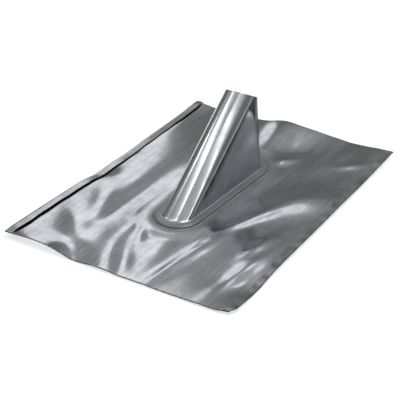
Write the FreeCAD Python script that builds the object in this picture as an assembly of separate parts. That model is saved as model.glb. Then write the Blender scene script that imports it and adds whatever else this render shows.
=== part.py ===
import FreeCAD, Part
import math
import os

# Zinc flashing tile for a roof mast: a hand-dressed zinc sheet, hemmed along both sides, with an oblique
# tapered sleeve that is closed onto it by a folded lock seam. X runs across the slope, Y up the slope and
# Z out of the roof. The origin lies under the middle of the sheet, at its lowest points. Millimetres.

# Sheet
GAUGE = 0.65
SHEET_LENGTH = 500.0
SHEET_WIDTH = 360.0

# Side hems: inner bend radius, angle that the strip is folded over by, and width of the folded strip
HEM_FLAP = 10.0
LEFT_HEM_BEND = 1.4
LEFT_HEM_TURN = 166.0
RIGHT_HEM_BEND = 0.8
RIGHT_HEM_TURN = 177.0

# Sleeve: outer radii and centres of its foot, and its rim, which is square to an upright mast
NOSE_Y = -89.0
NOSE_RADIUS = 23.0
REAR_Y = 83.0
REAR_RADIUS = 31.0
MAST_RADIUS = 22.5
MAST_CLEARANCE = 0.85
RIM_Y = 83.4
RIM_HEIGHT = 120.0
RIM_TILT = 28.0
NECK_LENGTH = 4.0

# Lock seam round the foot: four layers of sheet, and the pressed step that carries them. The wall's turn
# into the flange and the fold at the flange's edge are closed with a seaming iron, which leaves bevels.
SEAM_WIDTH = 11.0
SEAM_GAP = 0.15
FOOT_BEVEL = 2.0
FOLD_BEVEL = 0.6
HOOK_SETBACK = 2.0
STEP_SETBACK = 1.5
STEP_RUN = 4.0
STEP_DROP = 0.8
LAND_RIM = 1.0

# Dressing waves of the sheet: x, y, heading from +Y towards +X, half length, half width and height.
# Heights count from the flat land round the seam, and away from it the sheet lies a little higher.
BED_RISE = 3.9
LEFT, RIGHT = -SHEET_WIDTH / 2, SHEET_WIDTH / 2
FRONT, BACK = -SHEET_LENGTH / 2, SHEET_LENGTH / 2
WAVES = (
    (LEFT + 53, 128, 10, 120, 70, -9.0),
    (-21, FRONT + 70, 54, 120, 66, -9.0),
    (RIGHT - 58, FRONT + 28, 29, 96, 70, -8.0),
    (LEFT - 15, -13, 10, 120, 36, -9.5),
    (14, 153, -39, 120, 36, -6.3),
    (LEFT + 26, 90, -10, 120, 36, 5.1),
    (57, 43, -79, 120, 37, 4.5),
    (100, BACK - 16, 8, 102, 36, -5.2),
    (4, BACK - 4, -71, 28, 59, 5.9),
    (LEFT + 37, FRONT - 11, -40, 20, 70, 7.0),
)

# Spacing of the surface's control points, and how far the flat land fades into the waves
POLE_SPACING = 16.0
LAND_FADE = 60.0

# Faces that a hem's bend and each end of the taper are divided into
BEND_STEPS = 4
CONE_STEPS = 12

RIM_RADIUS = MAST_RADIUS + MAST_CLEARANCE + GAUGE
LAYER = GAUGE + SEAM_GAP
SEAM_HEIGHT = 3 * LAYER + GAUGE
FOLD_HEIGHT = 2 * LAYER + GAUGE
STEP_START = SEAM_WIDTH + STEP_SETBACK
LAND_EDGE = STEP_START + STEP_RUN + LAND_RIM
SEAM_BASE = STEP_DROP - GAUGE / 2
FOOT_LEVEL = SEAM_BASE + SEAM_HEIGHT
SIDE_LEAN = math.asin((REAR_RADIUS - NOSE_RADIUS) / (REAR_Y - NOSE_Y))
CUBIC = 3
MATCH = 1e-4


def vec(x, y, z):
    return FreeCAD.Vector(x, y, z)


def foot_distance(x, y):
    """Distance from a point of the sheet to the sleeve's foot, which is the hull of two circles."""
    span = REAR_Y - NOSE_Y
    across = abs(x)
    along = y - NOSE_Y
    lean, upright = math.sin(SIDE_LEAN), math.cos(SIDE_LEAN)
    station = lean * across + upright * along
    if station < 0:
        return math.hypot(across, along) - NOSE_RADIUS
    if station > upright * span:
        return math.hypot(across, along - span) - REAR_RADIUS
    return upright * across - lean * along - NOSE_RADIUS


def wave_height(x, y):
    """Sum of long bell-shaped waves, each one stretched along its own heading."""
    total = BED_RISE
    for wave_x, wave_y, heading, half_length, half_width, height in WAVES:
        turn = math.radians(heading)
        along = (x - wave_x) * math.sin(turn) + (y - wave_y) * math.cos(turn)
        across = (x - wave_x) * math.cos(turn) - (y - wave_y) * math.sin(turn)
        total += height * math.exp(-0.5 * ((along / half_length) ** 2 + (across / half_width) ** 2))
    return total


def sheet_height(x, y):
    """Middle of the sheet: flat round the sleeve, then fading into the waves."""
    flat_reach = LAND_EDGE + 2 * POLE_SPACING + LAND_RIM
    fade = min(max((foot_distance(x, y) - flat_reach) / LAND_FADE, 0), 1)
    blend = fade * fade * (3 - 2 * fade)
    return wave_height(x, y) * blend


def even_knots(low, high):
    """Knots of an even cubic spline over a span, with the control points that keep it linear."""
    spans = max(CUBIC + 1, round((high - low) / POLE_SPACING))
    knots = [float(k) for k in range(spans + 1)]
    mults = [CUBIC + 1] + [1] * (spans - 1) + [CUBIC + 1]
    flat = [knots[0]] * CUBIC + knots + [knots[-1]] * CUBIC
    scale = (high - low) / spans
    places = [low + scale * sum(flat[i + 1:i + 1 + CUBIC]) / CUBIC for i in range(spans + CUBIC)]
    return knots, mults, places


def spline_face(poles, u_form, v_form, weights=None):
    """Face on a spline surface whose directions are each given as degree, multiplicities and knots."""
    surface = Part.BSplineSurface()
    if weights is None:
        weights = [[1.0] * len(poles[0]) for _ in poles]
    surface.buildFromPolesMultsKnots(
        poles, u_form[1], v_form[1], u_form[2], v_form[2], False, False, u_form[0], v_form[0], weights)
    return surface.toShape()


def arc_steps(start, end, steps):
    """Start, middle and end angles of equal steps of an arc."""
    step = (end - start) / steps
    return [(start + i * step, start + (i + 0.5) * step, start + (i + 1) * step) for i in range(steps)]


def hem_curves(side, bend, turn):
    """Section of one hem about the sheet's edge: both walls of the bend, of the strip, and its free edge."""
    centre = GAUGE / 2 + bend

    def on_bend(radius, angle):
        return vec(side * radius * math.sin(angle), 0, centre - radius * math.cos(angle))

    full = math.radians(turn)
    strip = vec(side * math.cos(full), 0, math.sin(full)) * HEM_FLAP
    curves = []
    for radius in (bend, bend + GAUGE):
        for start, middle, end in arc_steps(0, full, BEND_STEPS):
            curves.append(Part.Arc(on_bend(radius, start), on_bend(radius, middle), on_bend(radius, end)))
        curves.append(Part.LineSegment(on_bend(radius, full), on_bend(radius, full) + strip))
    curves.append(Part.LineSegment(on_bend(bend, full) + strip, on_bend(bend + GAUGE, full) + strip))
    return curves


def carried_face(curve, rail, v_form):
    """Surface of a section curve carried along an edge of the sheet without turning."""
    spline = curve.toBSpline()
    poles = [[point + base for base in rail] for point in spline.getPoles()]
    weights = [[weight] * len(rail) for weight in spline.getWeights()]
    u_form = (spline.Degree, spline.getMultiplicities(), spline.getKnots())
    return spline_face(poles, u_form, v_form, weights)


def end_face(faces, y):
    """Flat end of the folded sheet, bounded by the edges that lie across it."""
    rim = [edge for face in faces for edge in face.Edges
           if all(abs(vertex.Y - y) < MATCH for vertex in edge.Vertexes)]
    return Part.Face(Part.Wire(Part.__sortEdges__(rim)))


def folded_sheet():
    """Waved sheet with its two hems, as one closed skin."""
    left = LEFT + LEFT_HEM_BEND + GAUGE
    right = RIGHT - RIGHT_HEM_BEND - GAUGE
    x_knots, x_mults, x_places = even_knots(left, right)
    y_knots, y_mults, y_places = even_knots(FRONT, BACK)
    u_form = (CUBIC, x_mults, x_knots)
    v_form = (CUBIC, y_mults, y_knots)
    columns = [left, left] + x_places[2:-2] + [right, right]
    heights = [[sheet_height(x, y) for y in y_places] for x in columns]

    def level(offset):
        return [[vec(x, y, z + offset) for y, z in zip(y_places, row)] for x, row in zip(x_places, heights)]

    faces = [spline_face(level(GAUGE / 2), u_form, v_form), spline_face(level(-GAUGE / 2), u_form, v_form)]
    middle = level(0)
    for side, bend, turn, rail in ((-1, LEFT_HEM_BEND, LEFT_HEM_TURN, middle[0]),
                                   (1, RIGHT_HEM_BEND, RIGHT_HEM_TURN, middle[-1])):
        faces += [carried_face(curve, rail, v_form) for curve in hem_curves(side, bend, turn)]
    faces += [end_face(faces, FRONT), end_face(faces, BACK)]
    return closed_solid(faces)


def closed_solid(faces):
    """Solid inside a set of faces that meet edge to edge."""
    shell = Part.makeShell(faces)
    shell.sewShape()
    solid = Part.makeSolid(shell)
    if solid.Volume < 0:
        solid.reverse()
    return solid


def foot_corner(offset, angle, at_nose, z):
    """Point on the foot's outline, moved out by an offset, in the direction of an angle from its centre."""
    centre, radius = (NOSE_Y, NOSE_RADIUS) if at_nose else (REAR_Y, REAR_RADIUS)
    reach = radius + offset
    return vec(reach * math.cos(angle), centre + reach * math.sin(angle), z)


def foot_plate(offset, low, high):
    """Plate with the outline of the sleeve's foot, moved out by an offset."""
    right, left = -SIDE_LEAN, math.pi + SIDE_LEAN

    def at(angle, at_nose):
        return foot_corner(offset, angle, at_nose, low)

    edges = [
        Part.Arc(at(left, True), at(-math.pi / 2, True), at(right, True)),
        Part.LineSegment(at(right, True), at(right, False)),
        Part.Arc(at(right, False), at(math.pi / 2, False), at(left, False)),
        Part.LineSegment(at(left, False), at(left, True)),
    ]
    outline = Part.Wire([edge.toShape() for edge in edges])
    return Part.Face(outline).extrude(vec(0, 0, high - low))


def round_the_foot(section):
    """Carries a section, corners as (distance out from the foot, height), round the foot's outline."""
    right, left = -SIDE_LEAN, math.pi + SIDE_LEAN

    def face_at(angle, at_nose):
        corners = [foot_corner(reach, angle, at_nose, z) for reach, z in section]
        return Part.Face(Part.makePolygon(corners + corners[:1]))

    def side_run(angle):
        return foot_corner(0, angle, False, 0) - foot_corner(0, angle, True, 0)

    up = vec(0, 0, 1)
    nose = face_at(left, True).revolve(vec(0, NOSE_Y, 0), up, math.degrees(math.pi - 2 * SIDE_LEAN))
    rear = face_at(right, False).revolve(vec(0, REAR_Y, 0), up, math.degrees(math.pi + 2 * SIDE_LEAN))
    sides = [face_at(angle, True).extrude(side_run(angle)) for angle in (left, right)]
    return nose.fuse([rear] + sides).removeSplitter()


def sleeve_lock():
    """Sleeve's half of the lock seam: the flange folded under at its outer edge."""
    top = FOOT_LEVEL
    under = top - FOLD_HEIGHT
    over = under + GAUGE
    inside = SEAM_WIDTH - GAUGE
    bevel = SEAM_WIDTH - FOLD_BEVEL
    flange_start = GAUGE + FOOT_BEVEL
    tongue_end = HOOK_SETBACK + GAUGE + SEAM_GAP
    return round_the_foot([
        (flange_start, top), (bevel, top), (SEAM_WIDTH, top - FOLD_BEVEL), (SEAM_WIDTH, under + FOLD_BEVEL),
        (bevel, under), (tongue_end, under), (tongue_end, over), (inside, over), (inside, top - GAUGE),
        (flange_start, top - GAUGE)])


def base_lock():
    """Sheet's half of the lock seam: the edge of the opening folded up and back, and the pressed step.

    The fold is pressed square, because it lies between the sleeve's two layers.
    """
    low = SEAM_BASE
    high = low + FOLD_HEIGHT
    inside = HOOK_SETBACK + GAUGE
    hook_end = SEAM_WIDTH - GAUGE - SEAM_GAP
    step_end = STEP_START + STEP_RUN
    return round_the_foot([
        (HOOK_SETBACK, low), (HOOK_SETBACK, high), (hook_end, high), (hook_end, high - GAUGE),
        (inside, high - GAUGE), (inside, low + GAUGE), (STEP_START, low + GAUGE),
        (step_end, low + GAUGE - STEP_DROP), (LAND_EDGE, low + GAUGE - STEP_DROP),
        (LAND_EDGE, low - STEP_DROP), (step_end, low - STEP_DROP), (STEP_START, low)])


def rim_axis():
    tilt = math.radians(RIM_TILT)
    return vec(0, math.sin(tilt), math.cos(tilt))


def tapered_body(inset, drop):
    """Solid of the sleeve's taper: a nose cone, a rear cone and two flat sides, between foot and neck.

    The inset makes the smaller body that hollows the sleeve out, and the drop carries its foot down along
    the slope of the nose and of the rear.
    """
    axis = rim_axis()
    rim_radius = RIM_RADIUS - inset
    neck = vec(0, RIM_Y, FOOT_LEVEL + RIM_HEIGHT) - axis * NECK_LENGTH
    back = vec(0, axis.z, -axis.y)

    def on_neck(angle):
        return neck + vec(math.cos(angle), 0, 0) * rim_radius + back * (rim_radius * math.sin(angle))

    def slope(foot_y, neck_point):
        return (neck_point.y - foot_y) / (neck_point.z - FOOT_LEVEL)

    nose_slope = slope(NOSE_Y - NOSE_RADIUS, on_neck(-math.pi / 2))
    rear_slope = slope(REAR_Y + REAR_RADIUS, on_neck(math.pi / 2))
    wall_run = inset * (math.hypot(1, nose_slope) - 1)
    nose_y = NOSE_Y + wall_run - nose_slope * drop
    rear_y = REAR_Y - rear_slope * drop
    z = FOOT_LEVEL - drop
    nose_radius, rear_radius = NOSE_RADIUS - inset, REAR_RADIUS - inset
    lean = math.asin((rear_radius - nose_radius) / (rear_y - nose_y))
    right, left = -lean, math.pi + lean

    def on_foot(centre_y, radius, angle):
        return vec(radius * math.cos(angle), centre_y + radius * math.sin(angle), z)

    def arc(at, start, middle, end):
        return Part.Arc(at(start), at(middle), at(end)).toShape()

    def at_nose(angle):
        return on_foot(nose_y, nose_radius, angle)

    def at_rear(angle):
        return on_foot(rear_y, rear_radius, angle)

    foot_rim, neck_rim, faces = [], [], []
    for at, start, end in ((at_nose, left - 2 * math.pi, right), (at_rear, right, left)):
        for step in arc_steps(start, end, CONE_STEPS):
            foot_rim.append(arc(at, *step))
            neck_rim.append(arc(on_neck, *step))
            faces.append(Part.makeRuledSurface(foot_rim[-1], neck_rim[-1]))
    for angle in (right, left):
        corners = [at_nose(angle), at_rear(angle), on_neck(angle)]
        faces.append(Part.Face(Part.makePolygon(corners + corners[:1])))
        foot_rim.append(Part.LineSegment(*corners[:2]).toShape())
    for rim in (foot_rim, neck_rim):
        faces.append(Part.Face(Part.Wire(Part.__sortEdges__(rim))))
    neck_run = NECK_LENGTH + (drop if inset else 0)
    collar = Part.makeCylinder(rim_radius, neck_run, neck, axis)
    return closed_solid(faces).fuse(collar).removeSplitter()


def foot_edges(shape, z):
    """Edges where the sleeve's wall turns out into its flange, on one level."""
    return [edge for edge in shape.Edges
            if all(abs(vertex.Z - z) < MATCH and foot_distance(vertex.X, vertex.Y) < GAUGE / 2
                   for vertex in edge.Vertexes)]


def sleeve():
    """Tapered sleeve with its bent-out foot and its half of the lock seam."""
    flange = foot_plate(GAUGE + FOOT_BEVEL, FOOT_LEVEL - GAUGE, FOOT_LEVEL)
    outside = tapered_body(0, 0).fuse([flange, sleeve_lock()]).removeSplitter()
    body = outside.cut(tapered_body(GAUGE, 2 * GAUGE)).Solids[0]
    body = body.makeChamfer(FOOT_BEVEL, foot_edges(body, FOOT_LEVEL))
    return body.makeChamfer(FOOT_BEVEL + GAUGE / 2, foot_edges(body, FOOT_LEVEL - GAUGE)).Solids[0]


def base_sheet():
    """Waved sheet, opened round the sleeve's foot, with its half of the lock seam."""
    opening = foot_plate(LAND_EDGE, -SEAM_HEIGHT, FOOT_LEVEL + SEAM_HEIGHT)
    return folded_sheet().cut(opening).fuse(base_lock()).Solids[0]


def lowest_level(shape):
    """Lowest height of the sheet, read off its meshed skin."""
    points, _ = shape.tessellate(GAUGE / 10)
    return min(point.z for point in points)


os.makedirs("parts", exist_ok=True)
nodes = {"base_sheet": base_sheet(), "sleeve": sleeve()}
settle = vec(0, 0, -lowest_level(nodes["base_sheet"]))
for name, shape in nodes.items():
    shape.translate(settle)
    shape.exportStep(f"parts/{name}.step")
    print(name, shape.ShapeType, len(shape.Solids), shape.isValid(), round(shape.Volume), shape.BoundBox)
print("raised by", round(settle.z, 3))
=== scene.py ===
# %% [markdown]
# Zinc flashing tile. Where a mast goes through a pitched roof, this sheet of soft zinc keeps the rain
# out: it is dressed by hand over the tiles round it, and its tapered sleeve closes round the mast. The
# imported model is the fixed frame. Shapes are worked out in millimetres, in that frame, and turned into
# metres at the end.

import bpy
import numpy as np
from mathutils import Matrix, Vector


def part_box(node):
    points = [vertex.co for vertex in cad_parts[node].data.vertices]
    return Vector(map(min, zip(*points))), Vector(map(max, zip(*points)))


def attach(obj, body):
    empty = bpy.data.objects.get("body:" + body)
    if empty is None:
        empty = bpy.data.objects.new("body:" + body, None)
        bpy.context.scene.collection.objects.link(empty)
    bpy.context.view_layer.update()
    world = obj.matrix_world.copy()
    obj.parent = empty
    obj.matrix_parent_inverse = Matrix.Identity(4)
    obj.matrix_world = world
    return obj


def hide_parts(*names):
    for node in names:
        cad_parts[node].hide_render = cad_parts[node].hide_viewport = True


np.set_printoptions(suppress=True)
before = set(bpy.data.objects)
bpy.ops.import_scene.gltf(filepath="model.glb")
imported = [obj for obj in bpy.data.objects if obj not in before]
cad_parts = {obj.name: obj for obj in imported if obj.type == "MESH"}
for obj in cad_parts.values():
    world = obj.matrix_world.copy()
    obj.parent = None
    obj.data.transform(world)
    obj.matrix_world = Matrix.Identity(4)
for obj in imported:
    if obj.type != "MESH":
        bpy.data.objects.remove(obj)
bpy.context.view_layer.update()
MM = 0.001
sheet_low, sheet_high = (np.array(corner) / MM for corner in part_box("base_sheet"))
sleeve_low, sleeve_high = (np.array(corner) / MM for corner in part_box("sleeve"))
# the visual sheet stays this far inside the frame's box
INSET = 0.15
LEFT, FRONT = sheet_low[:2] + INSET
RIGHT, BACK = sheet_high[:2] - INSET
print("sheet", sheet_low.round(2), sheet_high.round(2), "sleeve top", sleeve_high[2].round(2))

# %% [markdown]
# Two helpers serve the materials. Colours are written as they look on a screen, so one function turns
# an sRGB hex value into the linear numbers that a shader works with. The other adds a node with its
# settings and links. Nodes can also be set up by hand in the shader editor; written out, they can be
# read and changed in one place.

# %% Colour and node helpers


def linear(hex_colour):
    """Linear RGBA of an sRGB hex value, by the standard piecewise curve."""
    srgb = np.array([int(hex_colour[i:i + 2], 16) for i in (1, 3, 5)]) / 255
    rgb = np.where(srgb <= 0.04045, srgb / 12.92, ((srgb + 0.055) / 1.055) ** 2.4)
    return (*rgb, 1.0)


def add(tree, kind, inputs=None, **settings):
    """Adds one node: settings are its own properties, inputs are values or output sockets to link."""
    node = tree.nodes.new(kind)
    for name, value in settings.items():
        setattr(node, name, value)
    for name, value in (inputs or {}).items():
        if isinstance(value, bpy.types.NodeSocket):
            tree.links.new(value, node.inputs[name])
        else:
            node.inputs[name].default_value = value
    return node


print("the mid grey #808080 is", linear("#808080")[0].round(3), "in linear light")

# %% [markdown]
# Both pieces are thin zinc of one gauge, so each is drawn as its middle surface, and the Solidify
# modifier gives it its thickness. A surface here is a grid of points, rows by columns, and its faces
# follow from the grid's order, so no loop over points is needed. Each point can also carry values,
# which the materials read later.

# %% Mesh helpers
GAUGE = 0.65


def grid_faces(index, outward=True):
    """Quads between neighbouring rows and columns of a grid of point numbers."""
    corners = [index[:-1, :-1], index[1:, :-1], index[1:, 1:], index[:-1, 1:]]
    quads = np.stack(corners if outward else corners[::-1], axis=-1)
    return quads.reshape(-1, 4)


def make_mesh(name, points, quads, **values):
    """Smooth-shaded mesh object at the origin, from points in millimetres, quads and values per point."""
    mesh = bpy.data.meshes.new(name)
    mesh.from_pydata((points * MM).tolist(), [], quads.tolist())
    mesh.shade_smooth()
    for label, numbers in values.items():
        layer = mesh.attributes.new(label, "FLOAT", "POINT")
        layer.data.foreach_set("value", np.asarray(numbers, np.float32).ravel())
    piece = bpy.data.objects.new(name, mesh)
    bpy.context.scene.collection.objects.link(piece)
    return piece


def give_gauge(piece):
    """Gives a middle surface the zinc's thickness, half to each side, and its rim the next material."""
    wall = piece.modifiers.new("gauge", "SOLIDIFY")
    wall.thickness = GAUGE * MM
    wall.offset = 0
    wall.use_even_offset = True
    wall.use_quality_normals = True
    wall.material_offset_rim = 1


print("gauge of the zinc", GAUGE, "mm")

# %% [markdown]
# The sleeve's foot is the outline that everything is built round: a small circle in front, a larger one
# behind, and the two lines that touch both. The distance from that outline, and the direction away from
# it, place each ring of the seam and each point of the sheet. A curve object could draw it; a formula
# also tells how far away any point is.

# %% Foot outline
NOSE_Y, NOSE_RADIUS = -89.0, 23.0
REAR_Y, REAR_RADIUS = 83.0, 31.0
FOOT_SPAN = REAR_Y - NOSE_Y
LEAN = np.arcsin((REAR_RADIUS - NOSE_RADIUS) / FOOT_SPAN)


def from_foot(x, y):
    """Distance from the foot's outline and the direction away from it.

    In front of the touching lines it is the distance from the nose circle, behind them from the rear
    circle, and beside them it is measured square to the line.
    """
    side, along = np.abs(x), y - NOSE_Y
    station = np.sin(LEAN) * side + np.cos(LEAN) * along
    at_nose, at_rear = station < 0, station > np.cos(LEAN) * FOOT_SPAN
    back = np.where(at_rear, along - FOOT_SPAN, along)
    reach = np.maximum(np.hypot(side, back), 1e-9)
    round_part = at_nose | at_rear
    line = np.cos(LEAN) * side - np.sin(LEAN) * along - NOSE_RADIUS
    distance = np.where(round_part, reach - np.where(at_nose, NOSE_RADIUS, REAR_RADIUS), line)
    out_x = np.where(round_part, side / reach, np.cos(LEAN)) * np.where(x < 0, -1, 1)
    out_y = np.where(round_part, back / reach, -np.sin(LEAN))
    return distance, out_x, out_y


print("foot outline from", NOSE_Y - NOSE_RADIUS, "to", REAR_Y + REAR_RADIUS, "mm along the slope")

# %% [markdown]
# Sheet and sleeve hold each other by a lock seam: two hooked edges beaten flat, four layers of zinc
# with hardly any air between them. The levels of those layers come first, because each piece starts
# from one of them. Outside the seam the sheet steps down to a smooth land, and its folds begin beyond
# that.

# %% Levels of the seam and the land
SEAM_WIDTH, SEAM_GAP = 11.0, 0.15
LAYER = GAUGE + SEAM_GAP
FOLD_RADIUS = LAYER + GAUGE / 2
FOOT_TOP = sleeve_low[2] + 2 * FOLD_RADIUS
SEAM_MIDDLE = FOOT_TOP - 3 * LAYER - GAUGE / 2
# distances from the foot: where the step down starts and ends, and where the land gives way to the folds
STEP_START, STEP_END, STEP_DROP = 12.5, 16.5, 0.8
LAND_REACH, LAND_FADE = 17.5, 24.0
LAND_MIDDLE = SEAM_MIDDLE - STEP_DROP
print("top of the seam", FOOT_TOP.round(2), "middle of the land", LAND_MIDDLE.round(2))

# %% [markdown]
# The sheet was dressed by hand, so it is nowhere quite flat: long soft folds run up the slope, sides
# sag and corners lift. Metal mirrors what is round it, so a fold is seen by what its flanks reflect:
# the one that is turned to the bright card behind the sheet lights up, and the other stays dark. Each
# fold is a bell-shaped ridge or hollow, stretched along its own heading, and was placed to match a
# streak of light on the real sheet, or a rise or dip of its border. Noise could ripple the sheet as
# well, but it couldn't put a fold where the real one is.

# %% Dressing folds
# x, y, heading from +Y towards +X in degrees, half length, half width, height
FOLDS = np.array([
    # broad shape: sagging sides, lifted corners, the hump at the back
    (-184, 120, 0, 50, 10, -2.0),
    (60, -250, 90, 100, 60, -3.5),
    (178, -185, 0, 22, 40, -4.0),
    (186, -256, 0, 15, 9, 4.0),
    (-185, -205, 0, 50, 22, 2.6),
    (-124, -262, 90, 36, 22, 8.0),
    (-178, 262, 0, 30, 16, 4.5),
    (28, 262, 0, 32, 36, 7.5),
    (165, 255, 0, 60, 25, 4.0),
    # left side: the hollow beside the hem, and the long valleys and ridges beside the sleeve
    (-182, 30, -4, 38, 20, -4.6),
    (-178, -36, 5, 20, 20, -4.4),
    (-120, -105, -27, 50, 12, 1.3),
    (-85, -75, 0, 78, 15, -3.4),
    (-46, -140, -5, 32, 8, 1.1),
    # front left and middle
    (-101, -188, -45, 45, 13, 1.8),
    (-60, -258, -30, 28, 16, -4.5),
    (-30, -200, -25, 50, 24, 2.2),
    (-9, -212, -28, 34, 10, -2.0),
    (22, -180, -5, 40, 13, 1.2),
    (-25, -140, -20, 22, 5, 1.0),
    # right side: long streaks down the slope and the pool beside the hem
    (67, -160, 9, 52, 8, 2.1),
    (55, -200, 8, 35, 4.5, 1.0),
    (84, -50, 25, 38, 7, 2.0),
    (100, -10, 28, 24, 12, 2.0),
    (143, -160, 8, 45, 8, 2.6),
    (134, -98, 10, 26, 7, 2.6),
    (125, 42, 40, 32, 22, 5.0),
    # back
    (-4, 215, -14, 65, 18, 7.0),
    (47, 138, 25, 20, 6.5, 3.0),
    (42, 175, 58, 25, 18, -2.5),
    (70, 190, 5, 45, 7, 0.8),
    (90, 200, 0, 50, 9, 1.4),
    (112, 185, 8, 45, 8, 0.9),
    (140, 175, 47, 14, 7, 1.8),
])


def fold_height(x, y):
    """Sum of bells: height times exp of minus half the squared lengths along and across each fold."""
    fold_x, fold_y, heading, half_length, half_width, height = FOLDS.T
    turn = np.radians(heading)
    dx, dy = x[..., None] - fold_x, y[..., None] - fold_y
    along = (dx * np.sin(turn) + dy * np.cos(turn)) / half_length
    across = (dx * np.cos(turn) - dy * np.sin(turn)) / half_width
    return (height * np.exp(-0.5 * (along ** 2 + across ** 2))).sum(axis=-1)


print("folds", len(FOLDS), "of which hollows", (FOLDS[:, 5] < 0).sum())

# %% [markdown]
# The height of the sheet is the land's height, and beyond the land the folds fade in. Nothing goes
# through the ground the sheet lies on: a cut there would leave creases, so low places flatten out
# softly just above it.

# %% Height of the sheet
# away from the land the sheet sags by this much before the folds are added
SAG = 2.0
GROUND_CLEARANCE, GROUND_SOFTNESS = 0.1, 0.4
GROUND = sheet_low[2] + GAUGE / 2 + GROUND_CLEARANCE


def smooth(t):
    """Smooth step from 0 to 1: three t squared minus two t cubed."""
    t = np.clip(t, 0, 1)
    return t * t * (3 - 2 * t)


def sheet_middle(x, y):
    """Height of the sheet's middle surface: the flat land round the seam, fading into the folds.

    The last line keeps it over the ground: a softness times the log of one plus exp of the height above
    the ground divided by that softness.
    """
    blend = smooth((from_foot(x, y)[0] - LAND_REACH) / LAND_FADE)
    height = LAND_MIDDLE + (fold_height(x, y) - SAG) * blend
    return GROUND + GROUND_SOFTNESS * np.logaddexp(0, (height - GROUND) / GROUND_SOFTNESS)


corners_x, corners_y = np.array([LEFT, RIGHT, RIGHT, LEFT]), np.array([FRONT, FRONT, BACK, BACK])
print("heights of the four corners", sheet_middle(corners_x, corners_y).round(2))

# %% [markdown]
# The sheet is one piece of zinc: its edge is hooked into the seam, steps down to the land, runs out to
# the border and is folded back on itself along both sides. A ring grid follows that order. Each column
# is a ray that leaves the foot at a right angle and ends on the border; a square grid would have to be
# cut along the foot's curve.

# %% Border and rays
# for each hem, the radius inside its bend, the degrees that it turns and the width of its strip
LEFT_BEND, LEFT_TURN, LEFT_FLAP = 1.4, 184.0, 10.0
RIGHT_BEND, RIGHT_TURN, RIGHT_FLAP = 0.8, 177.0, 8.5
RAY_SPACING = 3.0
x_left, x_right = LEFT + LEFT_BEND + GAUGE, RIGHT - RIGHT_BEND - GAUGE
# the knocked corner: how far it moves, where that starts in x and over what run, and how deep it goes in y
CORNER_PULL = np.array([-5.0, 3.0])
CORNER_START, CORNER_RUN, CORNER_DEPTH = 150.0, 28.0, 16.0


def border_walk():
    """Border points, anticlockwise from the front left corner, and where each side starts.

    The front right corner was knocked round, so the points near it are pulled in.
    """
    corners = np.array([(x_left, FRONT), (x_right, FRONT), (x_right, BACK), (x_left, BACK), (x_left, FRONT)])
    counts = [round(np.hypot(*run) / RAY_SPACING) for run in np.diff(corners, axis=0)]
    runs = [a + (b - a) * np.linspace(0, 1, n, endpoint=False)[:, None]
            for a, b, n in zip(corners, corners[1:], counts)]
    walk = np.concatenate(runs)
    near_x = smooth((walk[:, 0] - CORNER_START) / CORNER_RUN)
    near_y = smooth((FRONT + CORNER_DEPTH - walk[:, 1]) / CORNER_DEPTH)
    return walk + (near_x * near_y)[:, None] * CORNER_PULL, np.concatenate([[0], np.cumsum(counts)])


border, side_start = border_walk()
reach, out_x, out_y = from_foot(border[:, 0], border[:, 1])
print("rays", len(border), "the shortest", reach.min().round(1), "mm long")

# %% [markdown]
# Along each ray the rows begin at the end of the hook, inside the seam. They go in to the hook's fold,
# come out again under the sleeve's edge, climb a low lip where the sheet was beaten against the seam,
# step down, and cross the open sheet. The last row but one lies close to the border, so that smooth
# shading leaves the cut edge crisp.

# %% Rows of the sheet
HOOK_SETBACK = 2.0
# extra rows that keep the folds tight: over and under the hook's fold, and short of the lip
OVER_FOLD, UNDER_FOLD, BEFORE_LIP = 2.0, 4.0, 0.4
FIELD_ROWS, STEP_ROWS = 56, 7
CRISP = 0.997
hook_top = SEAM_MIDDLE + 2 * LAYER
hook_line = HOOK_SETBACK + GAUGE / 2
hook_rows = [(SEAM_WIDTH - LAYER, hook_top), (hook_line + OVER_FOLD, hook_top), (hook_line, hook_top)]
under_rows = [(hook_line, SEAM_MIDDLE), (hook_line + UNDER_FOLD, SEAM_MIDDLE),
              (SEAM_WIDTH - BEFORE_LIP, SEAM_MIDDLE)]
# distance past the seam and height of the lip
lip = np.array([(0.2, 0.35), (0.6, 0.4), (1.1, 0.15)])
step_run = np.linspace(0, 1, STEP_ROWS)
step_distance = STEP_START + (STEP_END - STEP_START) * step_run
step_rows = np.column_stack([step_distance, SEAM_MIDDLE - STEP_DROP * smooth(step_run)])
seam_rows = np.concatenate([hook_rows, under_rows, lip + (SEAM_WIDTH, SEAM_MIDDLE), step_rows])
share = np.append(np.linspace(0, 1, FIELD_ROWS)[1:], 1)[:, None]
share[-2] = CRISP
field_distance = STEP_END + (reach - STEP_END) * share
distance = np.concatenate([np.repeat(seam_rows[:, :1], len(border), axis=1), field_distance])
x = border[:, 0] - (reach - distance) * out_x
y = border[:, 1] - (reach - distance) * out_y
field_height = sheet_middle(x[len(seam_rows):], y[len(seam_rows):])
z = np.concatenate([np.repeat(seam_rows[:, 1:], len(border), axis=1), field_height])
print("rows", len(distance), "height from", z.min().round(2), "to", z.max().round(2))

# %% [markdown]
# A hem stiffens each side and turns its raw edge away: the sheet goes round a small bend and a strip
# lies over it. Both strips were cut and beaten by hand: the left one is nearly even, the right one
# narrow and crimped. The bend and the strip are a profile carried along the border, so they rise and
# fall with it. Extruding the border in Edit Mode would give the same shape, but it would have to be
# done again after each change of the border.

# %% Hem shapes
BEND_ROWS = 9
# where the strip's rows lie, as shares of its width
STRIP = np.array([0.2, 0.4, 0.6, 0.8, 0.96, 1.0])
# length and shift of the sines that the strip's width and its free edge follow
WIDTH_WAVES = (7.0, 0.0), (17.0, 1.0)
LIFT_WAVES = (6.1, 0.0), (14.3, 2.0), (29.0, 0.0)
# both ends are pressed down by this share, over this length
END_PRESS, END_LENGTH = 0.6, 9.0


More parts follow.
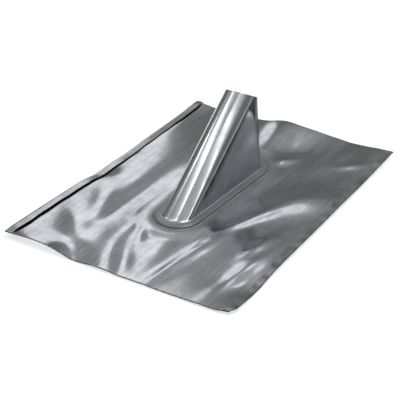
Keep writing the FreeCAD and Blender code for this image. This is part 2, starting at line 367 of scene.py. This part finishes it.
def hem_profile(side, bend, turn, flap):
    """Offsets in x and z from the border: an arc about a point above it, then a straight strip."""
    radius, full = bend + GAUGE / 2, np.radians(turn)
    angle = np.linspace(0, full, BEND_ROWS + 1)[1:]
    arc = np.column_stack([side * radius * np.sin(angle), radius * (1 - np.cos(angle))])
    strip = arc[-1] + flap * STRIP[:, None] * np.array([side * np.cos(full), np.sin(full)])
    return np.concatenate([arc, strip])


def waver(along, waves):
    """Sum of the sines of the way along an edge over each wave's length, plus its shift."""
    return sum(np.sin(along / length + shift) for length, shift in waves)


def hem(columns, profile, first, uneven, crimp):
    """Points of one hem and its quads, which start on the border row.

    Towards the free edge the profile is stretched and lifted by sums of sines. Both ends are pressed down.
    """
    rail = np.stack([x[-1, columns], y[-1, columns], z[-1, columns]], axis=-1)
    along = rail[:, 1]
    outer = np.concatenate([np.zeros(BEND_ROWS), STRIP])[:, None]
    pressed = 1 - END_PRESS * np.exp(-((BACK - np.abs(along)) / END_LENGTH) ** 2)
    across = profile[:, :1] * (1 + outer * uneven * waver(along, WIDTH_WAVES))
    height = (profile[:, 1:] + outer * crimp * waver(along, LIFT_WAVES)) * pressed
    points = rail[None] + np.stack([across, 0 * across, height], axis=-1)
    numbers = first + np.arange(across.size).reshape(across.shape)
    border_row = (len(x) - 1) * len(border) + columns
    return points.reshape(-1, 3), grid_faces(np.concatenate([border_row[None], numbers]))


print("strips", LEFT_FLAP, "and", RIGHT_FLAP, "mm wide")

# %% [markdown]
# What was done to the metal is kept as values on the points: how dull it is, how tarnished or painted
# dark, and how far it lies from the foot. Round the seam the sheet was beaten, along the cut edges it is
# darker, and each hem's bend is painted dark as shade. On the right strip the tarnish is worn off in
# flecks. Painted textures could do this too, but values that come from the shape stay with it when its
# numbers change.

# %% Finish values of the sheet
# where the beaten metal ends, the width over which it fades out, and its tarnish
BEATEN_END, BEATEN_FADE, BEATEN_TARNISH = 26.0, 12.0, 0.5
# how dark the last rows along the border are, and how dull the hems are
BORDER_DARKNESS, HEM_MATTE = 0.9, 0.3
# painted shade of a bend's last rows, which open out into the strip
BEND_LAST = [0.6, 0.3]
# how much of the tarnish is worn off, and length and shift of the sines that place the flecks
WORN_SHARE, FLECK_WAVES = 0.6, ((8.3, 0.0), (27.0, 1.0))


def hem_tarnish(along, dull):
    """Painted shade in a hem's bend, full, and on its strip a dullness worn by a product of two sines."""
    flecks = np.prod([np.sin(along / length + shift) for length, shift in FLECK_WAVES], axis=0)
    worn = dull * (1 - WORN_SHARE * np.abs(flecks))
    # painted shade: the bend is dark all through, its last rows less
    bend = np.append(np.ones(BEND_ROWS - len(BEND_LAST)), BEND_LAST)[:, None]
    strip = np.repeat(worn[None], len(STRIP), axis=0)
    return np.concatenate([np.maximum(bend, worn), strip]).ravel()


sheet_beaten = smooth((BEATEN_END - distance) / BEATEN_FADE)
# the last two rows along the border are darker, so the border shows as a dark line
border_darkness = np.zeros(distance.shape)
border_darkness[-2:] = BORDER_DARKNESS
sheet_tarnish = np.maximum(BEATEN_TARNISH * sheet_beaten, border_darkness)
print("share of points in beaten metal", (sheet_beaten > 0.5).mean().round(2))

# %% [markdown]
# The rings and the two hems share the border's points, so the sheet is one mesh without a seam in it.
# Hems made as objects of their own would have to be joined and merged afterwards. The sheet rides on
# the frame's only body and takes the place of the plain sheet there.

# %% Sheet mesh
hems = (
    # side, bend, turn, strip's width, first and last ray, unevenness, crimp, dullness
    (1, RIGHT_BEND, RIGHT_TURN, RIGHT_FLAP, side_start[1], side_start[2], 0.20, 0.45, 0.85),
    (-1, LEFT_BEND, LEFT_TURN, LEFT_FLAP, side_start[3], side_start[4], 0.03, 0.06, 0.15),
)
numbers = np.arange(x.size).reshape(x.shape)
points = [np.stack([x, y, z], axis=-1).reshape(-1, 3)]
quads = [grid_faces(np.column_stack([numbers, numbers[:, :1]]))]
matte, tarnish, ring = [sheet_beaten.ravel()], [sheet_tarnish.ravel()], [distance.ravel()]
for side, bend, turn, flap, start, end, uneven, crimp, dull in hems:
    columns = np.arange(start, end + 1) % len(border)
    profile = hem_profile(side, bend, turn, flap)
    hem_points, hem_quads = hem(columns, profile, sum(map(len, points)), uneven, crimp)
    points.append(hem_points)
    quads.append(hem_quads)
    matte.append(np.full(len(hem_points), HEM_MATTE))
    tarnish.append(hem_tarnish(y[-1, columns], dull))
    ring.append(np.full(len(hem_points), distance.max()))
points = np.concatenate(points)
sheet = make_mesh("dressed_sheet", points, np.concatenate(quads), grain=points[:, 0],
                  ring=np.concatenate(ring), matte=np.concatenate(matte), tarnish=np.concatenate(tarnish))
give_gauge(sheet)
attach(sheet, "root")
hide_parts("base_sheet")
print("sheet quads", len(sheet.data.polygons))

# %% [markdown]
# The sleeve is a second piece of zinc. Its lower edge grips the sheet's hook in the lock seam, its foot
# bends up into a slanting nose, a rear and two flat sides, and all of them run together in a round rim
# that is square to the mast. One profile does it, carried round the foot: tongue, fold, flange, foot
# bend, wall. Each column of points starts on the foot's outline and ends at its own place on the rim.
# Bridging a foot curve and a rim curve would give the wall alone; a profile brings the seam with it.

# %% Sleeve columns
# the rim's centre along the slope and over the foot's top, its tilt, and its outside radius
RIM_Y, RIM_RISE, RIM_TILT = 83.4, 119.85, np.radians(28)
RIM_OUTSIDE = 24.0
# half of the short piece of rim where a flat side ends
SIDE_ANGLE = np.radians(3)
ARC_POINTS, SIDE_POINTS = 150, 50
arc_share = np.linspace(0, 1, ARC_POINTS, endpoint=False)
side_share = np.linspace(0, 1, SIDE_POINTS, endpoint=False)


def foot_walk():
    """Centre, radius, direction angle and rim angle for each column, anticlockwise from the nose's left end.

    A column stands at its centre plus its radius along its angle. A flat side's columns all end on one
    short piece of the rim, so they share a small angle there.
    """
    nose = -np.pi + LEAN + (np.pi - 2 * LEAN) * arc_share
    rear = -LEAN + (np.pi + 2 * LEAN) * arc_share
    flat = np.zeros(SIDE_POINTS)
    run = FOOT_SPAN * side_share
    centre = NOSE_Y + np.concatenate([0 * nose, run, 0 * rear + FOOT_SPAN, FOOT_SPAN - run])
    grow = (REAR_RADIUS - NOSE_RADIUS) * side_share
    radius = np.concatenate([0 * nose + NOSE_RADIUS, NOSE_RADIUS + grow,
                             0 * rear + REAR_RADIUS, REAR_RADIUS - grow])
    angle = np.concatenate([nose, flat - LEAN, rear, flat + np.pi + LEAN])
    nose_rim = nose + SIDE_ANGLE * (1 - 2 * arc_share)
    rear_rim = rear + SIDE_ANGLE * (1 - 2 * arc_share)
    side_rim = SIDE_ANGLE * (2 * side_share - 1)
    rim_angle = np.concatenate([nose_rim, side_rim - LEAN, rear_rim, side_rim + np.pi + LEAN])
    return centre, radius, angle, rim_angle


centre, radius, angle, rim_angle = foot_walk()
away = np.stack([np.cos(angle), np.sin(angle), 0 * angle], axis=-1)
foot = np.stack([radius * np.cos(angle), centre + radius * np.sin(angle), 0 * angle + FOOT_TOP], axis=-1)
rim_right, rim_back = np.array([1, 0, 0]), np.array([0, np.cos(RIM_TILT), -np.sin(RIM_TILT)])
rim_centre = np.array([0, RIM_Y, FOOT_TOP + RIM_RISE])
rim_way = np.cos(rim_angle)[:, None] * rim_right + np.sin(rim_angle)[:, None] * rim_back
rim = rim_centre + (RIM_OUTSIDE - GAUGE / 2) * rim_way
print("sleeve columns", len(angle), "rim centre", rim_centre.round(2))

# %% [markdown]
# The sleeve's half of the lock seam starts with a tongue under the sheet's hook, turns over in a tight
# fold and comes back on top as the flange. A soft bend then takes it up into the wall. A Bevel modifier
# could round a sharp profile, but this fold has to clear the hook inside it, so its arc is written out.
# The profile is written as distance out from the foot and height over its top, and the same few numbers
# serve every column.

# %% Lock seam and foot bend
FOOT_BEND = 3.5
FOLD_POINTS, BEND_POINTS = 9, 9
# distances from the foot of a row on the tongue and two on the flange, the last just outside the bend
TONGUE_OUT, FLANGE_OUT, BEND_CLEARANCE = 6.0, 7.0, 0.5
UP = np.array([0, 0, 1])
fold_angle = np.linspace(-np.pi / 2, np.pi / 2, FOLD_POINTS)
fold_middle = FOLD_RADIUS - GAUGE / 2
fold = np.column_stack([SEAM_WIDTH - FOLD_RADIUS + fold_middle * np.cos(fold_angle),
                        fold_middle * np.sin(fold_angle) - FOLD_RADIUS])
tongue_level, flange_level = GAUGE / 2 - 2 * FOLD_RADIUS, -GAUGE / 2
tongue = [(HOOK_SETBACK + LAYER, tongue_level), (TONGUE_OUT, tongue_level)]
flange = [(FLANGE_OUT, flange_level), (GAUGE + FOOT_BEND + BEND_CLEARANCE, flange_level)]
lock = np.concatenate([tongue, fold, flange])
lock_rows = foot[None] + lock[:, :1, None] * away + lock[:, 1:, None] * UP
corner = foot - GAUGE / 2 * (away + UP)
wall = rim - corner
bend_start = corner + (FOOT_BEND + GAUGE / 2) * away
bend_end = corner + FOOT_BEND * wall / np.linalg.norm(wall, axis=-1, keepdims=True)
# the bend: start, corner and end weighted by the square of 1 - t, twice t times 1 - t, and the square of t
t = np.linspace(0, 1, BEND_POINTS)[:, None, None]
bend_rows = (1 - t) ** 2 * bend_start + 2 * t * (1 - t) * corner + t ** 2 * bend_end
print("seam", SEAM_WIDTH, "mm wide, rows", len(lock_rows), "and", len(bend_rows))

# %% [markdown]
# The walls run straight from the foot bend to the rim, except that both sides are a little hollow, as
# thin sheet is when it is pulled round a form. The hollow is a bell up the wall times a squared sine
# from the nose's end of a side to the rear, so it fades out before it gets to an edge. Sculpting would
# do as well; a formula stays smooth.

# %% Walls with hollow sides
WALL_ROWS = 40
# depth, and middle and spread as shares of the wall's height
PANEL_HOLLOW, HOLLOW_MIDDLE, HOLLOW_SPREAD = 3.0, 0.54, 0.22
# a side's place goes from 0 at the nose to this at its flat part's end, then at this rate to 1 in the rear
FLAT_END, REAR_RATE = 0.6, 1.6
up = np.append(np.linspace(0, 1, WALL_ROWS)[1:], 1)[:, None]
up[-2] = CRISP
from_arc_end = np.minimum(arc_share, 1 - arc_share)
rear_place = np.minimum(FLAT_END + REAR_RATE * from_arc_end, 1)
side_place = np.concatenate([0 * arc_share, FLAT_END * side_share, rear_place, FLAT_END * (1 - side_share)])
panel_place = np.sin(np.pi * side_place) ** 2
hollow = PANEL_HOLLOW * panel_place * np.exp(-((up - HOLLOW_MIDDLE) / HOLLOW_SPREAD) ** 2)
wall_rows = bend_end + (rim - bend_end) * up[..., None] - hollow[..., None] * away
rows = np.concatenate([lock_rows, bend_rows, wall_rows])
print("deepest hollow", hollow.max().round(2), "mm")

# %% [markdown]
# The sleeve's skin is marked in four places. The foot was beaten round the seam. Where the sleeve was
# closed, at the right rear, a dark line runs up; towards the rim it is painted shade, which widens over
# the right flat side. A band of painted shade lies between the nose and each side. The hollow panels are
# a little duller than the nose. Each of these is a share from 0 to 1 that follows from the height up the
# wall and the place round the foot.

# %% Finish values of the sleeve
# the closing line: its direction, its spread and how much that grows up the wall, in degrees
CLOSING_ANGLE, CLOSING_SPREAD, CLOSING_GROWTH = 26.0, 14.0, 26.0
# its darkness, where up the wall it starts and over what height it comes in
CLOSING_DARKNESS, CLOSING_START, CLOSING_FADE = 0.95, 0.1, 0.5
# its reach on the flat side, the painted shade's extra reach at the rim, how late that comes, its soft edge
SIDE_REACH, RIM_REACH, RIM_LATENESS, SIDE_FADE = 2.0, 58.0, 8, 6.0
# painted shade between nose and sides, and the dull panels, each with the height over which it comes in
NOSE_EDGE_SHADE, NOSE_EDGE_WIDTH, NOSE_EDGE_FADE = 0.75, 0.12, 0.2
PANEL_MATTE, PANEL_FADE, CLOSING_MATTE = 0.6, 0.1, 2.0
below_wall = len(lock_rows) + len(bend_rows)
high = np.concatenate([np.zeros(below_wall), up.ravel()])[:, None]
foot_beaten = np.concatenate([np.ones(len(lock_rows)), np.linspace(1, 0, BEND_POINTS), 0 * up.ravel()])
foot_beaten = foot_beaten[:, None]
spread = CLOSING_SPREAD + CLOSING_GROWTH * high ** 2
closing_and_shade = np.exp(-((np.degrees(angle) - CLOSING_ANGLE) / spread) ** 2)
closing_and_shade *= smooth((high - CLOSING_START) / CLOSING_FADE)
from_rear = (1 - side_share) * FOOT_SPAN * (1 - high)
right_side = slice(ARC_POINTS, ARC_POINTS + SIDE_POINTS)
side_reach = SIDE_REACH + RIM_REACH * high ** RIM_LATENESS
# on the right flat side it reaches in from the rear, and near the rim it spreads over the side as painted
# shade
closing_and_shade[:, right_side] = smooth((side_reach - from_rear) / SIDE_FADE)
closing_and_shade *= CLOSING_DARKNESS
# painted shade in a band along each edge between the nose and a side
from_nose_edge = np.concatenate([2 * from_arc_end, side_place[ARC_POINTS:]])
nose_edge_shade = NOSE_EDGE_SHADE * np.exp(-(from_nose_edge / NOSE_EDGE_WIDTH) ** 2) * smooth(high / NOSE_EDGE_FADE)
panel = PANEL_MATTE * panel_place * smooth(high / PANEL_FADE)
sleeve_matte = np.maximum.reduce([foot_beaten + 0 * panel, panel, CLOSING_MATTE * closing_and_shade])
sleeve_tarnish = np.maximum.reduce([BEATEN_TARNISH * foot_beaten + 0 * closing_and_shade, closing_and_shade, nose_edge_shade])
print("share of points in dark metal", (sleeve_tarnish > 0.5).mean().round(2))

# %% [markdown]
# The rows close on themselves round the foot, so the last column is joined to the first. The grain
# value is the way round the foot: rolling lines then run up the sleeve, as they do when a flat blank is
# bent round.

# %% Sleeve mesh
numbers = np.arange(rows[..., 0].size).reshape(rows.shape[:2])
sleeve_quads = grid_faces(np.column_stack([numbers, numbers[:, :1]]), outward=False)
from_wall = np.concatenate([lock[:, 0], np.linspace(FOOT_BEND, 0, BEND_POINTS), 0 * up.ravel()])
steps = np.linalg.norm(np.diff(foot, axis=0, prepend=foot[-1:]), axis=-1)
round_foot = np.tile(np.cumsum(steps), len(rows))
sleeve = make_mesh("tapered_sleeve", rows.reshape(-1, 3), sleeve_quads, grain=round_foot,
                   ring=np.repeat(from_wall, len(angle)), matte=sleeve_matte, tarnish=sleeve_tarnish)
give_gauge(sleeve)
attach(sleeve, "root")
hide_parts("sleeve")
print("sleeve quads", len(sleeve.data.polygons))

# %% [markdown]
# Bright rolled zinc is a soft blue-grey metal with a satin sheen. Rolling leaves fine lines along the
# sheet, handling leaves cloudy patches and shallow dents, and the tool that closed the seam left faint
# rings round it. The rings are a wave of the distance from the foot, and the rest is noise in the
# object's own coordinates. All are sized in millimetres, so they keep their scale wherever the part is
# used. An image of zinc could be laid on instead, but it would have to be unwrapped, and it would
# repeat.

# %% Patterns in the zinc
CLOUD_SIZE, DENT_SIZE = 24.0, 11.0
# real rolling lines lie a tenth of a millimetre apart; drawn coarser, they show at this distance
LINE_SPACING, LINE_LENGTH, LINE_SHARE = 4.5, 60.0, 0.6
# the tool's rings lie some four millimetres apart and wander a little
RING_SPACING, RING_WANDER, RING_SHARE = 4.2, 2.5, 0.3


def zinc_patterns(tree):
    """Sockets of the clouds, the drift of tone, the lines, the dents, the tool's rings, and tarnish with
    painted shade.
    """
    place = add(tree, "ShaderNodeTexCoord").outputs["Object"]
    tarnish, ring, grain = (add(tree, "ShaderNodeAttribute", attribute_name=label).outputs["Fac"]
                            for label in ("tarnish", "ring", "grain"))
    clouds = add(tree, "ShaderNodeTexNoise", {"Vector": place, "Scale": 1 / (CLOUD_SIZE * MM),
                                              "Detail": 6.0, "Roughness": 0.62}).outputs["Fac"]
    across = add(tree, "ShaderNodeMath", {0: grain, 1: LINE_LENGTH * MM / LINE_SPACING},
                 operation="MULTIPLY").outputs["Value"]
    lines = add(tree, "ShaderNodeTexNoise", {"Vector": place, "W": across, "Scale": 1 / (LINE_LENGTH * MM),
                                             "Detail": 1.5}, noise_dimensions="4D").outputs["Fac"]
    both = add(tree, "ShaderNodeMath", {0: lines, 1: LINE_SHARE, 2: clouds}, operation="MULTIPLY_ADD")
    # the sum of both patterns lies mostly between these two values
    drift = add(tree, "ShaderNodeMapRange", {"Value": both.outputs["Value"],
                                             "From Min": 0.5, "From Max": 1.1})
    dents = add(tree, "ShaderNodeTexNoise", {"Vector": place, "Scale": 1 / (DENT_SIZE * MM),
                                             "Detail": 2.0}).outputs["Fac"]
    wander = add(tree, "ShaderNodeMath", {0: dents, 1: RING_WANDER, 2: ring}, operation="MULTIPLY_ADD")
    phase = add(tree, "ShaderNodeMath", {0: wander.outputs["Value"], 1: 2 * np.pi / RING_SPACING},
                operation="MULTIPLY")
    wave = add(tree, "ShaderNodeMath", {0: phase.outputs["Value"]}, operation="SINE")
    rings = add(tree, "ShaderNodeMath", {0: wave.outputs["Value"], 1: tarnish},
                operation="MULTIPLY").outputs["Value"]
    skin = add(tree, "ShaderNodeMath", {0: rings, 1: RING_SHARE, 2: tarnish}, operation="MULTIPLY_ADD")
    return clouds, drift.outputs["Result"], lines, dents, rings, skin.outputs["Value"]


print("clouds", CLOUD_SIZE, "lines", LINE_SPACING, "dents", DENT_SIZE, "tool rings", RING_SPACING, "mm")

# %% [markdown]
# Where zinc was hammered its skin is broken, and it turns darker and dull: the tarnish is an oxide, so
# it takes away some of the metal's mirror. The same dark colour is also painted shade in the hems' bends,
# between the sleeve's nose and sides, and on the sleeve's right flat side near the rim. Bright metal and
# tarnish could be two shaders mixed together; one shader whose colour and metal share follow the tarnish
# and the painted shade is simpler. Bright metal and tarnish could be two shaders mixed together; one
# shader whose colour and metal share follow the tarnish is simpler, and it survives the export.

# %% Rolled zinc
# dark colour of tarnish, also used for painted shade
TARNISH_AND_SHADE_COLOUR = "#2e2f33"
# depths of the relief in millimetres, and what dull metal and cloudy patches add to the roughness
LINE_DEPTH, RING_DEPTH = 0.014, 0.16
MATTE_ROUGHNESS, CLOUD_ROUGHNESS = 0.15, 0.06


def rolled_zinc(name, bright, dull, sheen, dent):
    """Zinc whose tone and roughness drift in clouds and streaks, with lines, dents and dull worked parts."""
    material = bpy.data.materials.new(name)
    material.use_nodes = True
    tree = material.node_tree
    shader = tree.nodes["Principled BSDF"]
    clouds, drift, lines, dents, rings, skin = zinc_patterns(tree)
    # soft blue-grey that is never quite one tone, darker where tarnished, and near black where shade is
    # painted in
    tone = add(tree, "ShaderNodeMix", {"Factor": drift, "A": linear(dull), "B": linear(bright)},
               data_type="RGBA").outputs["Result"]
    grey = add(tree, "ShaderNodeMix", {"Factor": skin, "A": tone, "B": linear(TARNISH_AND_SHADE_COLOUR)},
               data_type="RGBA")
    tree.links.new(grey.outputs["Result"], shader.inputs["Base Color"])
    metal = add(tree, "ShaderNodeMath", {0: skin, 1: -1.0, 2: 1.0}, operation="MULTIPLY_ADD")
    tree.links.new(metal.outputs["Value"], shader.inputs["Metallic"])
    # the oxide has little shine of its own
    shader.inputs["Specular IOR Level"].default_value = 0.15
    # a satin sheen: streaks of light with soft edges, softer still on worked metal
    matte = add(tree, "ShaderNodeAttribute", attribute_name="matte").outputs["Fac"]
    gloss = add(tree, "ShaderNodeMapRange", {"Value": clouds, "From Min": 0.3, "From Max": 0.7,
                                             "To Min": sheen + CLOUD_ROUGHNESS, "To Max": sheen})
    rough = add(tree, "ShaderNodeMath", {0: matte, 1: MATTE_ROUGHNESS, 2: gloss.outputs["Result"]},
                operation="MULTIPLY_ADD")
    tree.links.new(rough.outputs["Value"], shader.inputs["Roughness"])
    # relief too shallow for the mesh, which breaks the streaks up a little
    drawn = add(tree, "ShaderNodeBump", {"Height": lines, "Distance": LINE_DEPTH * MM, "Strength": 1.0})
    dented = add(tree, "ShaderNodeBump", {"Height": dents, "Distance": dent * MM, "Strength": 1.0,
                                          "Normal": drawn.outputs["Normal"]})
    tooled = add(tree, "ShaderNodeBump", {"Height": rings, "Distance": RING_DEPTH * MM, "Strength": 1.0,
                                          "Normal": dented.outputs["Normal"]})
    tree.links.new(tooled.outputs["Normal"], shader.inputs["Normal"])
    return material


# name, bright and dull tone, roughness where it is glossiest, depth of the dents
sheet_zinc = rolled_zinc("rolled_zinc_sheet", "#d4d7db", "#b0b3b8", 0.12, 0.05)
# the sleeve has no dents, so its lights run long and straight
sleeve_zinc = rolled_zinc("formed_zinc_sleeve", "#d6d9dd", "#b4b7bc", 0.12, 0.0)
print("zinc materials", sheet_zinc.name, sleeve_zinc.name)

# %% [markdown]
# Shears leave a torn, dirty edge on zinc. It is only as wide as the gauge, so it needs no shape of its
# own: Solidify gives the rim faces of each piece the second material, and the eye gets a thin dark line
# that shows the thickness.

# %% Sheared edge
NICK_SIZE = 2.0
edge = bpy.data.materials.new("sheared_zinc_edge")
edge.use_nodes = True
tree = edge.node_tree
shader = tree.nodes["Principled BSDF"]
# dark, dull metal with small nicks
shader.inputs["Metallic"].default_value = 1.0
shader.inputs["Roughness"].default_value = 0.5
place = add(tree, "ShaderNodeTexCoord").outputs["Object"]
nicks = add(tree, "ShaderNodeTexNoise", {"Vector": place, "Scale": 1 / (NICK_SIZE * MM),
                                         "Detail": 3.0}).outputs["Fac"]
tone = add(tree, "ShaderNodeMix", {"Factor": nicks, "A": linear("#1e1f21"), "B": linear("#3c3d40")},
           data_type="RGBA")
tree.links.new(tone.outputs["Result"], shader.inputs["Base Color"])
for piece, zinc in ((sheet, sheet_zinc), (sleeve, sleeve_zinc)):
    piece.data.materials.append(zinc)
    piece.data.materials.append(edge)
print("materials", [material.name for material in bpy.data.materials])

# %% [markdown]
# The stage is a sheet of white paper. Paper under plain light comes out pale grey, so for the eye and
# for mirrored views its material adds a little glow, which brings lit paper to white and leaves the
# shadow under the sheet. Stronger lamps would whiten it too, but they would change the metal.

# %% Floor
FLOOR_HALF, PAPER_GLOW = 6.0, 0.50
floor_corners = [(-FLOOR_HALF, -FLOOR_HALF, 0), (FLOOR_HALF, -FLOOR_HALF, 0),
                 (FLOOR_HALF, FLOOR_HALF, 0), (-FLOOR_HALF, FLOOR_HALF, 0)]
floor_mesh = bpy.data.meshes.new("floor")
floor_mesh.from_pydata(floor_corners, [], [(0, 1, 2, 3)])
floor = bpy.data.objects.new("floor", floor_mesh)
bpy.context.scene.collection.objects.link(floor)
paper = bpy.data.materials.new("white_paper")
paper.use_nodes = True
tree = paper.node_tree
shader = tree.nodes["Principled BSDF"]
# matte and even, so that nothing but the shadow is seen on it
shader.inputs["Base Color"].default_value = linear("#f6f6f6")
shader.inputs["Roughness"].default_value = 0.9
rays = add(tree, "ShaderNodeLightPath").outputs
mirrored = add(tree, "ShaderNodeMath", {0: rays["Is Glossy Ray"], 1: rays["Is Transmission Ray"]},
               operation="ADD").outputs["Value"]
seen = add(tree, "ShaderNodeMath", {0: rays["Is Camera Ray"], 1: mirrored}, operation="ADD")
glow = add(tree, "ShaderNodeMath", {0: seen.outputs["Value"], 1: PAPER_GLOW}, operation="MULTIPLY")
shader.inputs["Emission Color"].default_value = (1, 1, 1, 1)
tree.links.new(glow.outputs["Value"], shader.inputs["Emission Strength"])
floor_mesh.materials.append(paper)
print("floor", 2 * FLOOR_HALF, "m square")

# %% [markdown]
# The camera stands in front of the sheet and to the right, about thirty degrees round from the slope
# and thirty above it, far enough away that the sides stay nearly parallel. It looks at the sheet a
# little in front of its middle. A constraint could aim it; here its three axes are put into a matrix,
# so that each of them can be read and used again for the lamps.

# %% Camera
AZIMUTH, ELEVATION = np.radians(31.7), np.radians(29.7)
EYE_DISTANCE, AIM = 1600.0, np.array([1.0, -33.6, LAND_MIDDLE + 0.5])
SENSOR, LENS = 36.0, 100.0
level_back = np.array([np.sin(AZIMUTH), -np.cos(AZIMUTH), 0])
cam_back = np.cos(ELEVATION) * level_back + np.sin(ELEVATION) * UP
cam_right = np.array([np.cos(AZIMUTH), np.sin(AZIMUTH), 0])
cam_up = np.cross(cam_back, cam_right)
camera_data = bpy.data.cameras.new("camera")
camera_data.sensor_width = SENSOR
camera_data.lens = LENS
camera = bpy.data.objects.new("camera", camera_data)
bpy.context.scene.collection.objects.link(camera)
pose = np.eye(4)
pose[:3, :3] = np.column_stack([cam_right, cam_up, cam_back])
pose[:3, 3] = (AIM + EYE_DISTANCE * cam_back) * MM
camera.matrix_world = pose.T.tolist()
bpy.context.scene.camera = camera
print("camera at", pose[:3, 3].round(3))

# %% [markdown]
# Metal shows what stands round it, so the lamps are what the eye sees in the zinc. A tall card behind
# the sheet, to the left, is what most folds catch. A small card higher up, behind to the right, lights
# folds there, and a wide dim one at the right keeps the sleeve's side from going black. Three strips
# overhead draw the long lines down the nose. A soft box overhead, to the right, lights the paper and
# throws the shadow.

# %% Lamps
room = np.stack([cam_right, np.cross(UP, cam_right), UP])


def card_lamp(name, start, end, width, radiance):
    """Rectangular lamp between two points, given in metres to the right, away and up; it faces the object.

    Its power is radiance times pi times area.
    """
    start, end = np.array(start) @ room, np.array(end) @ room
    length = np.linalg.norm(end - start)
    along, middle = (end - start) / length, (start + end) / 2
    facing = middle - (middle @ along) * along
    facing /= np.linalg.norm(facing)
    data = bpy.data.lights.new(name, "AREA")
    data.shape = "RECTANGLE"
    data.size, data.size_y = width, length
    data.energy = radiance * np.pi * width * length
    lamp = bpy.data.objects.new(name, data)
    bpy.context.scene.collection.objects.link(lamp)
    stand = np.eye(4)
    stand[:3, :3] = np.column_stack([np.cross(along, facing), along, facing])
    stand[:3, 3] = middle
    lamp.matrix_world = stand.T.tolist()


# name, start, end, width and radiance
card_lamp("back_card", (-0.36, 2.5, 0.40), (-0.36, 2.5, 2.30), 0.38, 0.94)
card_lamp("high_card", (0.5, 2.0, 1.95), (0.5, 2.0, 2.85), 0.3, 0.8)
card_lamp("right_card", (1.75, 0.87, 0.5), (1.75, 0.87, 1.8), 1.3, 0.15)
card_lamp("main_strip", (-1.20, 0.45, 1.79), (-0.50, -0.66, 2.04), 0.20, 2.2)
card_lamp("right_strip", (-0.07, -0.59, 2.11), (1.65, -1.08, 0.95), 0.10, 2.6)
card_lamp("left_strip", (-1.48, 0.92, 1.34), (-1.48, 0.48, 1.54), 0.07, 5.0)
card_lamp("top_box", (0.25, 0.05, 2.2), (1.35, 0.05, 2.0), 0.7, 5.0)

# %% [markdown]
# The room itself is dim, and a little brighter to the left and towards the ceiling, so metal that
# mirrors none of the lamps is still graded from dark to light. An even grey room would leave it flat.

# %% Room
ROOM_DIM, ROOM_BRIGHT, ROOM_SHIFT = 0.18, 0.48, -0.30
ROOM_TO_RIGHT, ROOM_TO_CEILING = -0.09, 1.08
world = bpy.data.worlds.new("room")
bpy.context.scene.world = world
world.use_nodes = True
tree = world.node_tree
slant = tuple(ROOM_TO_RIGHT * cam_right + ROOM_TO_CEILING * UP)
direction = add(tree, "ShaderNodeTexCoord").outputs["Generated"]
turned = add(tree, "ShaderNodeVectorMath", {0: direction, 1: slant}, operation="DOT_PRODUCT")
level = add(tree, "ShaderNodeMath", {0: turned.outputs["Value"], 1: ROOM_SHIFT}, operation="ADD")
held = add(tree, "ShaderNodeClamp", {"Value": level.outputs["Value"], "Min": ROOM_DIM, "Max": ROOM_BRIGHT})
tree.links.new(held.outputs["Result"], tree.nodes["Background"].inputs["Strength"])
tree.nodes["Background"].inputs["Color"].default_value = (1, 1, 1, 1)
bpy.context.scene.view_settings.view_transform = "Standard"
print("room from", ROOM_DIM, "to", ROOM_BRIGHT)
